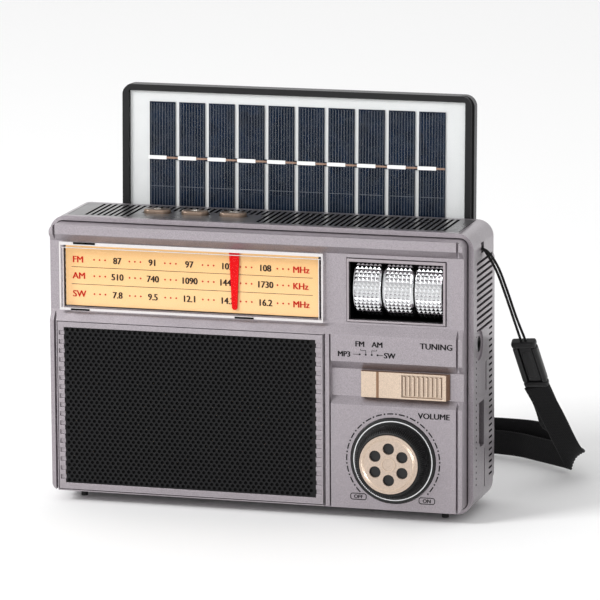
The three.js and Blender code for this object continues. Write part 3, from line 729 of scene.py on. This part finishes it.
def make_webbing(centres, rows):
    """A flat strip with ribs along it and rounded, stitched-looking edges."""
    section = []
    ribs = 8
    for face in (1, -1):
        line = []
        for i in range(2 * ribs + 1):
            u = -1 + 2 * i / (2 * ribs)
            lift = 1.0 if i % 2 else 0.5
            edge = 0.45 if i in (0, 2 * ribs) else 1
            line.append((u * (1 - 0.02 * (edge < 1)), face * lift * edge))
        section += line if face > 0 else line[::-1]
    points, faces, marks = [], [], []
    run = 0.0
    for i, centre in enumerate(centres):
        ahead = (centres[min(i + 1, len(centres) - 1)] - centres[max(i - 1, 0)]).normalized()
        across = Vector(rows[i][3:6])
        across = (across - ahead * across.dot(ahead)).normalized()
        normal = ahead.cross(across)
        if i:
            run += (centre - centres[i - 1]).length
        for u, v in section:
            points.append(centre + across * u * WEB_WIDE / 2000 + normal * v * WEB_THICK / 2000)
            marks.append((run, u * WEB_WIDE / 2000))
    n = len(section)
    for i in range(len(centres) - 1):
        for k in range(n):
            j = (k + 1) % n
            faces.append((i * n + k, i * n + j, (i + 1) * n + j, (i + 1) * n + k))
    faces += [tuple(range(n))[::-1], tuple(range(len(points) - n, len(points)))]
    web = mesh_piece("wrist_webbing", points, faces, WEB)
    weave_coordinates(web, marks)
    return settle(outward(web), "radio", "cloth", "strap_webbing")


def make_clip():
    """A flat moulded slider: frame, long recess, and a raised band at the cord end."""
    top, low = Vector(CLIP_TOP), Vector(CLIP_LOW)
    down = (low - top).normalized()
    length = (low - top).length
    side = Vector(CLIP_ACROSS)
    side = (side - down * side.dot(down)).normalized()
    out = down.cross(side)

    def local(u, v, w):
        return point(*(top + side * u + down * v + out * w))

    shapes = [
        box_shape(-5.85, 5.85, 0, 3.4, -2.2, 2.2, local),
        box_shape(-5.85, -3.4, 3.4, length - 3, -2, 2, local),
        box_shape(3.4, 5.85, 3.4, length - 3, -2, 2, local),
        box_shape(-5.85, 5.85, length - 3, length, -2, 2, local),
        box_shape(-3.4, 3.4, 3.4, length - 3, -1.1, 1.1, local),
        box_shape(-2.2, 2.2, 6, length - 6, -1.5, 1.5, local),
    ]
    clip = outward(mesh_piece("wrist_clip", *gather(shapes), BLACK))
    soften(clip, 1.1, 4)
    return settle(clip, "radio", "black", "strap_clip")


def make_case():
    side_marks = []
    for i in range(25):
        z = 15.4 + i * 2.85
        side_marks.append(disc_shape((99.8, 15.4, z), 0.55, "x", 2, 10))
    for i in range(27):
        z = 15.0 + i * 2.85
        side_marks.append(box_shape(99.8, 102, 39.7, 45.5, z - 0.5, z + 0.5))
        side_marks.append(box_shape(-102, -99.8, 39.7, 45.5, z - 0.5, z + 0.5))
    # The cut walls of the side slits are painted near-black: painted shade inside the slits.
    rounded("case_shell", LILAC, "case_shell", 0.35, 2, side_marks, BLACK_AND_SHADE)
    rounded("front_panel", LILAC, "case_shell", 0.3, 2)
    rounded("rear_cover", LILAC, "case_shell", 0.5, 2)
    rounded("battery_door", LILAC, "case_shell", 0.3, 2)
    plate = rounded("top_plate", TOP_GREY, "top", 0.12, 1)
    # Every face of the top plate not facing up is painted near-black: painted shade in the louvre slots.
    shade_faces(plate, BLACK_AND_SHADE, lambda face: face.normal.z < 0.5)
    # A near-black sheet under the louvres: painted shade seen through the slots.
    shade = [box_shape(-92, -62.5, 14.2, 44.3, 129.6, 130), box_shape(-2, 92, 14.2, 44.3, 129.6, 130)]
    shade.append(box_shape(-62.4, -2.1, 32.4, 44.3, 129.6, 130))
    settle(mesh_piece("slot_shade", *gather(shade), BLACK_AND_SHADE), "radio", "black")
    for node in ("foot_front_left", "foot_front_right", "foot_rear_left", "foot_rear_right"):
        rounded(node, RUBBER, "rubber", 0.2)


def perforated_sheet(x0, x1, z0, z1, y0, y1, pitch, row_pitch, radius):
    """A thin sheet with staggered round holes, each cell a frame of eight quads."""
    points, faces = [], []
    rows = int((z1 - z0) / row_pitch)
    z_start = z0 + ((z1 - z0) - rows * row_pitch) / 2

    def quad_strip(xa, xb, za, zb):
        start = len(points)
        points.extend([point(xa, y0, za), point(xb, y0, za), point(xb, y0, zb), point(xa, y0, zb)])
        faces.append((start, start + 1, start + 2, start + 3))

    for row in range(rows):
        za = z_start + row * row_pitch
        zb, zc = za + row_pitch, za + row_pitch / 2
        shift = pitch / 2 if row % 2 else 0
        count = int((x1 - x0 - 0.4 - shift) / pitch)
        left = x0 + 0.2 + shift
        quad_strip(x0, left, za, zb)
        quad_strip(left + count * pitch, x1, za, zb)
        for column in range(count):
            xa = left + column * pitch
            xb, xc = xa + pitch, xa + pitch / 2
            rim = [(xb, zc), (xb, zb), (xc, zb), (xa, zb), (xa, zc), (xa, za), (xc, za), (xb, za)]
            start = len(points)
            points.extend(point(x, y0, z) for x, z in rim)
            for depth in (y0, y1):
                for k in range(8):
                    a = pi / 4 * k
                    points.append(point(xc + radius * cos(a), depth, zc + radius * sin(a)))
            for k in range(8):
                n = (k + 1) % 8
                faces.append((start + k, start + 8 + k, start + 8 + n, start + n))
                faces.append((start + 8 + k, start + 16 + k, start + 16 + n, start + 8 + n))
    quad_strip(x0, x1, z0, z_start)
    quad_strip(x0, x1, z_start + rows * row_pitch, z1)
    return points, faces


def make_speaker():
    sheet = mesh_piece(
        "speaker_mesh", *perforated_sheet(-90.9, 29.0, 8.9, 82.0, 0.55, 1.1, 2.5, 1.77, 0.82), MESH_BLACK
    )
    settle(sheet, "radio", "mesh", "speaker_grille")
    # A black cloth behind the grille; its near-black also stands in for the shade behind the mesh, as painted
    # shade.
    cloth = mesh_piece("speaker_cloth", *box_shape(-90.9, 29, 1.25, 1.5, 8.9, 82), BLACK_AND_SHADE)
    settle(cloth, "radio", "mesh")
    rounded("speaker_frame", LILAC, "case_shell", 0.18, 2)
    rounded("speaker_basket", STEEL, "steel", 0.3)
    rounded("speaker_cone", PAPER, "paper", 0.15)
    rounded("speaker_magnet", FERRITE, "ferrite", 0.6)


def make_dial():
    rounded("dial_plate", AMBER, "amber", 0.1)
    rounded("pointer", RED, "red", 0.12)
    rounded("dial_cover", CLEAR, "clear", 0.2)
    rounded("pointer_rail", STEEL, "steel", 0.1)
    for node in ("idler_pulley_left", "idler_pulley_right", "dial_string", "pointer_carriage"):
        rounded(node, BLACK, "black", 0.1)
    # Pale opaque strips along the clear cover's rims: painted highlight on its edges.
    edges = [
        box_shape(-92.9, 32.7, 0.35, 0.75, 120.5, 122), box_shape(-92.9, 32.7, 0.35, 0.75, 90.2, 91.3),
        box_shape(-92.9, -92.2, 0.35, 0.75, 91.3, 120.5), box_shape(32, 32.7, 0.35, 0.75, 91.3, 120.5),
        box_shape(-91.8, 31.6, 0.4, 0.75, 119.2, 119.5), box_shape(30.6, 30.9, 0.4, 0.75, 91.3, 119.2),
        box_shape(-91.2, -90.9, 0.4, 0.75, 91.3, 119.2),
    ]
    settle(mesh_piece("cover_rim_highlights", *gather(edges), COVER_RIM_HIGHLIGHT), "radio", "clear")
    # Near-black boxes in the cover's rim notches: painted shade in the notches.
    notches = [box_shape(x, x + 9, 0.1, 0.34, 90.2, 91) for x in (-87.5, -9)]
    notches.append(box_shape(-86, -75.5, 0.1, 0.34, 121.1, 122))
    settle(mesh_piece("cover_notches", *gather(notches), BLACK_AND_SHADE), "radio", "black")
    face = 3.74
    dark = [flat_bar(-88, 27, 109.8, 110.0, face), flat_bar(-88, 27, 101.8, 102.0, face)]
    red = []
    columns = (-66, -49, -31.5, -13.5, 4.5)
    middles = (-74.5, -57.5, -40.5, -22.5, -4.5, 13)
    rows = (
        (112.0, "FM", ("87", "91", "97", "102", "108"), "MHz"),
        (104.4, "AM", ("510", "740", "1090", "1440", "1730"), "KHz"),
        (96.0, "SW", ("7.8", "9.5", "12.1", "14.2", "16.2"), "MHz"),
    )
    for z, band, numbers, unit in rows:
        red += bold_words(band, -87.6, z, 3.0, face)
        red += bold_words(unit, 17.6, z, 3.0, face, stretch=0.95)
        for x, text in zip(columns, numbers):
            dark += bold_words(text, x, z, 3.0, face, "CENTER", 0.92)
        for middle in middles:
            red.extend(flat_dot(middle + step * 2.65, z + 1.5, 0.42, face) for step in (-1, 0, 1))
    printed("dial_marks_dark", dark, DARK_INK, "radio", "amber")
    printed("dial_marks_red", red, RED_INK, "radio", "red")


def make_drum():
    """The tuning drum: three knurled bands of small pyramids on one barrel."""
    points, faces = [], []
    rows, base, tip = 44, 13.75, 14.35

    def spot(x, radius, angle):
        return point(x, DRUM_Y - radius * cos(angle), DRUM_Z + radius * sin(angle))

    bands = ((45.9, 59.05), (59.75, 74.0), (74.7, 87.6))
    for low, high in bands:
        rim = (high - low - 6 * 1.98) / 2
        edges = [low, low + rim * 0.6] + [low + rim + 1.98 * i for i in range(7)] + [high - rim * 0.6, high]
        start = len(points)
        heights = [base - 0.5, base + 0.1] + [base] * 7 + [base + 0.1, base - 0.5]
        for row in range(rows):
            angle = 2 * pi * row / rows
            points.extend(spot(x, r, angle) for x, r in zip(edges, heights))
        n = len(edges)
        for row in range(rows):
            after = (row + 1) % rows
            for k in range(n - 1):
                a, b = start + row * n + k, start + row * n + k + 1
                c, d = start + after * n + k + 1, start + after * n + k
                if 2 <= k < 8:
                    points.append(spot((edges[k] + edges[k + 1]) / 2, tip, 2 * pi * (row + 0.5) / rows))
                    top = len(points) - 1
                    faces.extend([(a, b, top), (b, c, top), (c, d, top), (d, a, top)])
                else:
                    faces.append((a, b, c, d))
        for end in (0, n - 1):
            faces.append(tuple(start + row * n + end for row in range(rows)))
    drum = outward(mesh_piece("drum_knurled", points, faces, CHROME))
    settle(drum, "tuner", "chrome", "tuning_drum")
    core = mesh_piece("drum_core", *disc_shape((46.4, DRUM_Y, DRUM_Z), 12.9, "x", 40.7, 32), BLACK_AND_SHADE)
    settle(outward(core), "tuner", "black")
    rounded("tuning_bezel", PALE_STEEL, "steel", 0.2)
    rounded("drum_housing", BLACK_AND_SHADE, "black", 0.3)
    for node in ("drum_axle", "capacitor_rotor", "tuning_capacitor"):
        rounded(node, STEEL, "steel", 0.15)
    rounded("string_pulley", WHITE_PLASTIC, "white", 0.2)


def make_volume():
    teeth = 108
    profile = [
        (3.3, -0.8), (17.0, -0.8), (17.0, -1.6), (16.3, -6.6), (15.9, -7.3),
        (14.5, -8.0), (14.1, -8.1), (13.95, -7.9), (13.95, -7.0), (3.3, -7.0),
    ]

    def tooth(i, row):
        return -0.9 * (i % 4 in (2, 3)) if row in (3, 4) else 0

    knob = outward(mesh_piece(
        "knob_body", *turned(profile, (KNOB_X, KNOB_Z), teeth * 4, tooth), BLACK
    ))
    soften(knob, 0.06, 1, 50)
    settle(knob, "volume", "charcoal", "volume_knob")
    rounded("knob_disc", DISC, "champagne", 0.25, 3)
    knurl_profile = [(11.2, -8.3), (11.5, -8.52), (12.5, -8.52), (12.8, -8.3)]
    knurl = outward(mesh_piece(
        "knob_knurl", *turned(knurl_profile, (KNOB_X, KNOB_Z), 240), CHAMPAGNE
    ))
    for index, vertex in enumerate(knurl.data.vertices):
        if (index // 4) % 2 and index % 4 in (1, 2):
            vertex.co.y += 0.00016
    settle(knurl, "volume", "champagne")
    cap = mesh_piece(
        "knob_cap", *gather([ring_shape(KNOB_X, KNOB_Z, 3.25, 2.85, -8.62, -8.3)]), CHAMPAGNE
    )
    settle(outward(cap), "volume", "champagne")
    rounded("volume_escutcheon", BLACK, "black", 0.25)
    line = mesh_piece("escutcheon_line", *ring_shape(KNOB_X, KNOB_Z, 18.55, 18.1, -0.45, -0.25, 96), CHROME)
    settle(outward(line), "radio", "chrome")
    rounded("volume_pot", STEEL, "steel", 0.3)
    rounded("pot_shaft", STEEL, "steel", 0.2)
    marks = []
    pairs = 19
    for i in range(pairs):
        start = radians(-135) + radians(270) * i / pairs
        step = radians(270) / pairs
        marks.append(ring_shape(KNOB_X, KNOB_Z, 22.05, 21.5, -0.05, -0.02, 6, start, step * 0.52))
        a = start + step * 0.76
        marks.append(flat_dot(KNOB_X + 21.8 * sin(a), KNOB_Z + 21.8 * cos(a), 0.4, -0.04))
    for text, x, z in (("OFF", 49.2, 10.6), ("ON", 81.3, 10.3)):
        marks.append(flat_rim(x - 3.85, x + 3.85, z - 1.6, z + 1.6, 1.2, 0.38))
        marks += bold_words(text, x, z - 0.85, 1.7, -0.03, "CENTER", weight=0.2)
    printed("volume_marks", marks, BLACK_INK, "radio", "black")


def make_front_marks():
    marks = bold_words("TUNING", 78.1, 80.5, 2.7, stretch=1.02, weight=0.28)
    marks += bold_words("VOLUME", 77.2, 48.4, 2.6, stretch=1.02, weight=0.28)
    marks += bold_words("FM", 47.8, 80.2, 2.5)
    marks += bold_words("AM", 55.6, 80.2, 2.5)
    marks += bold_words("MP3", 39.6, 75.3, 2.5, stretch=0.95)
    marks += bold_words("SW", 61.3, 75.4, 2.5)
    dots = (50.0, 52.8, 55.6, 58.3)
    marks += [flat_dot(x, 76.6, 0.45) for x in dots]
    marks += [flat_bar(46.8, dots[0], 76.48, 76.72), flat_bar(dots[3], 60.9, 76.48, 76.72)]
    for start, stop in ((50.4, dots[1]), (57.9, dots[2])):
        low, high = sorted((start, stop))
        marks += [flat_bar(start - 0.12, start + 0.12, 78.5, 79.2), flat_bar(low, high, 78.4, 78.64)]
        marks.append(flat_bar(stop - 0.12, stop + 0.12, 76.6, 78.64))
    printed("front_marks", marks, BLACK_INK, "radio", "black")


def make_slider():
    slider = rounded("band_slider", CHAMPAGNE, "champagne", 0.15, 2)
    # Every face of the slider not facing the front takes a darker copy of its lacquer: painted shade on its
    # top, bottom and sides.
    shade_faces(slider, SLIDER_EDGE_SHADE, lambda face: face.normal.y > -0.9)
    rounded("band_switch", BLACK, "black", 0.2)


def make_buttons():
    for node in ("power_button", "light_button", "alarm_button"):
        rounded(node, COPPER, "copper", 0.9, 4)

    def top_ring(x, outer, inner, start=0.0, sweep=2 * pi, sides=24):
        points, faces = [], []
        whole = sweep > 2 * pi - 0.01
        count = sides if whole else sides + 1
        for i in range(count):
            a = start + sweep * i / sides
            for r in (outer, inner):
                points.append(point(x + r * sin(a), BUTTON_Y + r * cos(a), BUTTON_TOP))
        for i in range(sides):
            k = (i + 1) % count
            faces.append((2 * i, 2 * i + 1, 2 * k + 1, 2 * k))
        return points, faces

    def top_bar(x0, x1, y0, y1):
        corners = ((x0, y0), (x1, y0), (x1, y1), (x0, y1))
        return [point(x, y, BUTTON_TOP) for x, y in corners], [(0, 1, 2, 3)]

    x = BUTTON_X[0]
    power = [top_ring(x, 1.5, 1.15, radians(35), radians(290)), top_bar(x - 0.18, x + 0.18, 28.2, 30)]
    x = BUTTON_X[1]
    light = [top_ring(x, 0.9, 0.0001)]
    for i in range(8):
        a = 2 * pi * i / 8
        side = Vector((cos(a), -sin(a))) * 0.14
        near, far = Vector((sin(a), cos(a))) * 1.2, Vector((sin(a), cos(a))) * 1.8
        corners = [near - side, near + side, far + side, far - side]
        light.append(([point(x + c.x, BUTTON_Y + c.y, BUTTON_TOP) for c in corners], [(0, 1, 2, 3)]))
    x = BUTTON_X[2]
    alarm = [top_ring(x, 0.5, 0.0001)]
    for radius in (1.0, 1.6):
        alarm.append(top_ring(x, radius + 0.15, radius - 0.15, radians(50), radians(80), 8))
        alarm.append(top_ring(x, radius + 0.15, radius - 0.15, radians(230), radians(80), 8))
    for name, shapes in (("power", power), ("light", light), ("alarm", alarm)):
        printed(name + "_icon", shapes, WHITE_INK, name, "copper")


def make_panel():
    surround = rounded("solar_frame", CHARCOAL, "charcoal", 0.6, 3)
    middle, backward = panel_point(0, -2.8, 0), panel_point(0, 1, 0) - panel_point(0, 0, 0)
    shade_faces(surround, SHELL_GREY, lambda face: (face.center - middle).dot(backward) > 0)
    rounded("solar_backing", PANEL_WHITE, "white", 0.1)
    rounded("solar_glass", CLEAR, "clear", 0.2)
    rounded("solar_cells", CELL, "cell", 0.05, 1)
    fingers, solder, ribbon = [], [], []
    for i in range(10):
        x = CELL_X + i * CELL_PITCH
        for k in range(9):
            at = x + 0.8 + k * (CELL_WIDE - 1.6) / 8
            fingers.append(
                box_shape(at - 0.06, at + 0.06, -4.97, -4.88, CELL_LOW + 0.6, CELL_HIGH - 0.6, panel_point)
            )
        fingers.append(box_shape(x + 0.5, x + CELL_WIDE - 0.5, -4.96, -4.88, 18.2, 18.35, panel_point))
        solder.append(box_shape(x - 0.6, x + 8.2, -5.05, -4.85, 30.9, 32.6, panel_point))
        ribbon.append(box_shape(x + 8.2, x + CELL_WIDE, -5.03, -4.85, 31.3, 32.2, panel_point))
        if i < 9:
            ribbon.append(
                box_shape(x + CELL_WIDE, x + CELL_PITCH - 0.6, -5.0, -4.85, 31.35, 32.15, panel_point)
            )
    for name, shapes, material in (
        ("cell_fingers", fingers, FINGER), ("bus_solder", solder, SOLDER), ("bus_ribbon", ribbon, RIBBON)
    ):
        settle(mesh_piece(name, *gather(shapes), material), "solar_panel", "cell")


def make_rest():
    for node in ("hinge_rod", "strap_post", "card_socket"):
        rounded(node, STEEL, "steel", 0.15)
    jack = rounded("headphone_jack", CHROME, "chrome", 0.2)
    axis = point(0, JACK_Y, JACK_Z)
    # Faces inside the jack's hole are painted near-black: painted shade in the hole.
    shade_faces(jack, BLACK_AND_SHADE, lambda face: (face.center - axis).yz.length < JACK_HOLE / 1000)
    # The steel USB socket is painted near-black all over: painted shade in its opening.
    rounded("usb_socket", BLACK_AND_SHADE, "steel", 0.15)
    for node in ("button_board", "main_board"):
        rounded(node, GREEN, "green", 0.15)
    rounded("battery_cell", WRAP, "wrap", 0.6, 3)
    rounded("ferrite_rod", FERRITE, "ferrite", 0.3)
    rounded("antenna_coil", WINDING, "winding", 0.3)
    rounded("antenna_pivot", STEEL, "steel", 0.4, 3)
    for node in ("antenna_tube_1", "antenna_tube_2", "antenna_tube_3"):
        rounded(node, CHROME, "chrome", 0.2)


add_camera()
make_strap()
add_studio()
make_case()
make_speaker()
make_dial()
make_drum()
make_volume()
make_front_marks()
make_slider()
make_buttons()
make_panel()
make_rest()
